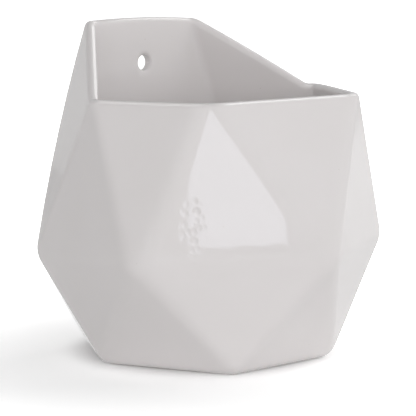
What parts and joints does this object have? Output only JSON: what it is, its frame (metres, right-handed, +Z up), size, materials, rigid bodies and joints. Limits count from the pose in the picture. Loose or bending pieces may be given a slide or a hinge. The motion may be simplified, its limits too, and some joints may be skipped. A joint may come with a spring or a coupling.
{
  "type": "wall planter",
  "caption": "Faceted glazed ceramic wall planter: an open faceted pot with a flat raised back and a round hanging hole.",
  "frame": {"origin": "middle of the bounding box's underside, on the surface that the planter stands on", "axes": "+Z up, +Y towards the wall that it hangs on, -Y to the front, X from side to side; the planter is mirror-symmetric in X"},
  "size_m": [0.1602, 0.1388, 0.1621],
  "materials": {
    "white_glaze": "glossy white glaze over slip-cast ceramic"
  },
  "bodies": {
    "root": {"planter_body": "white_glaze"}
  },
  "joints": []
}
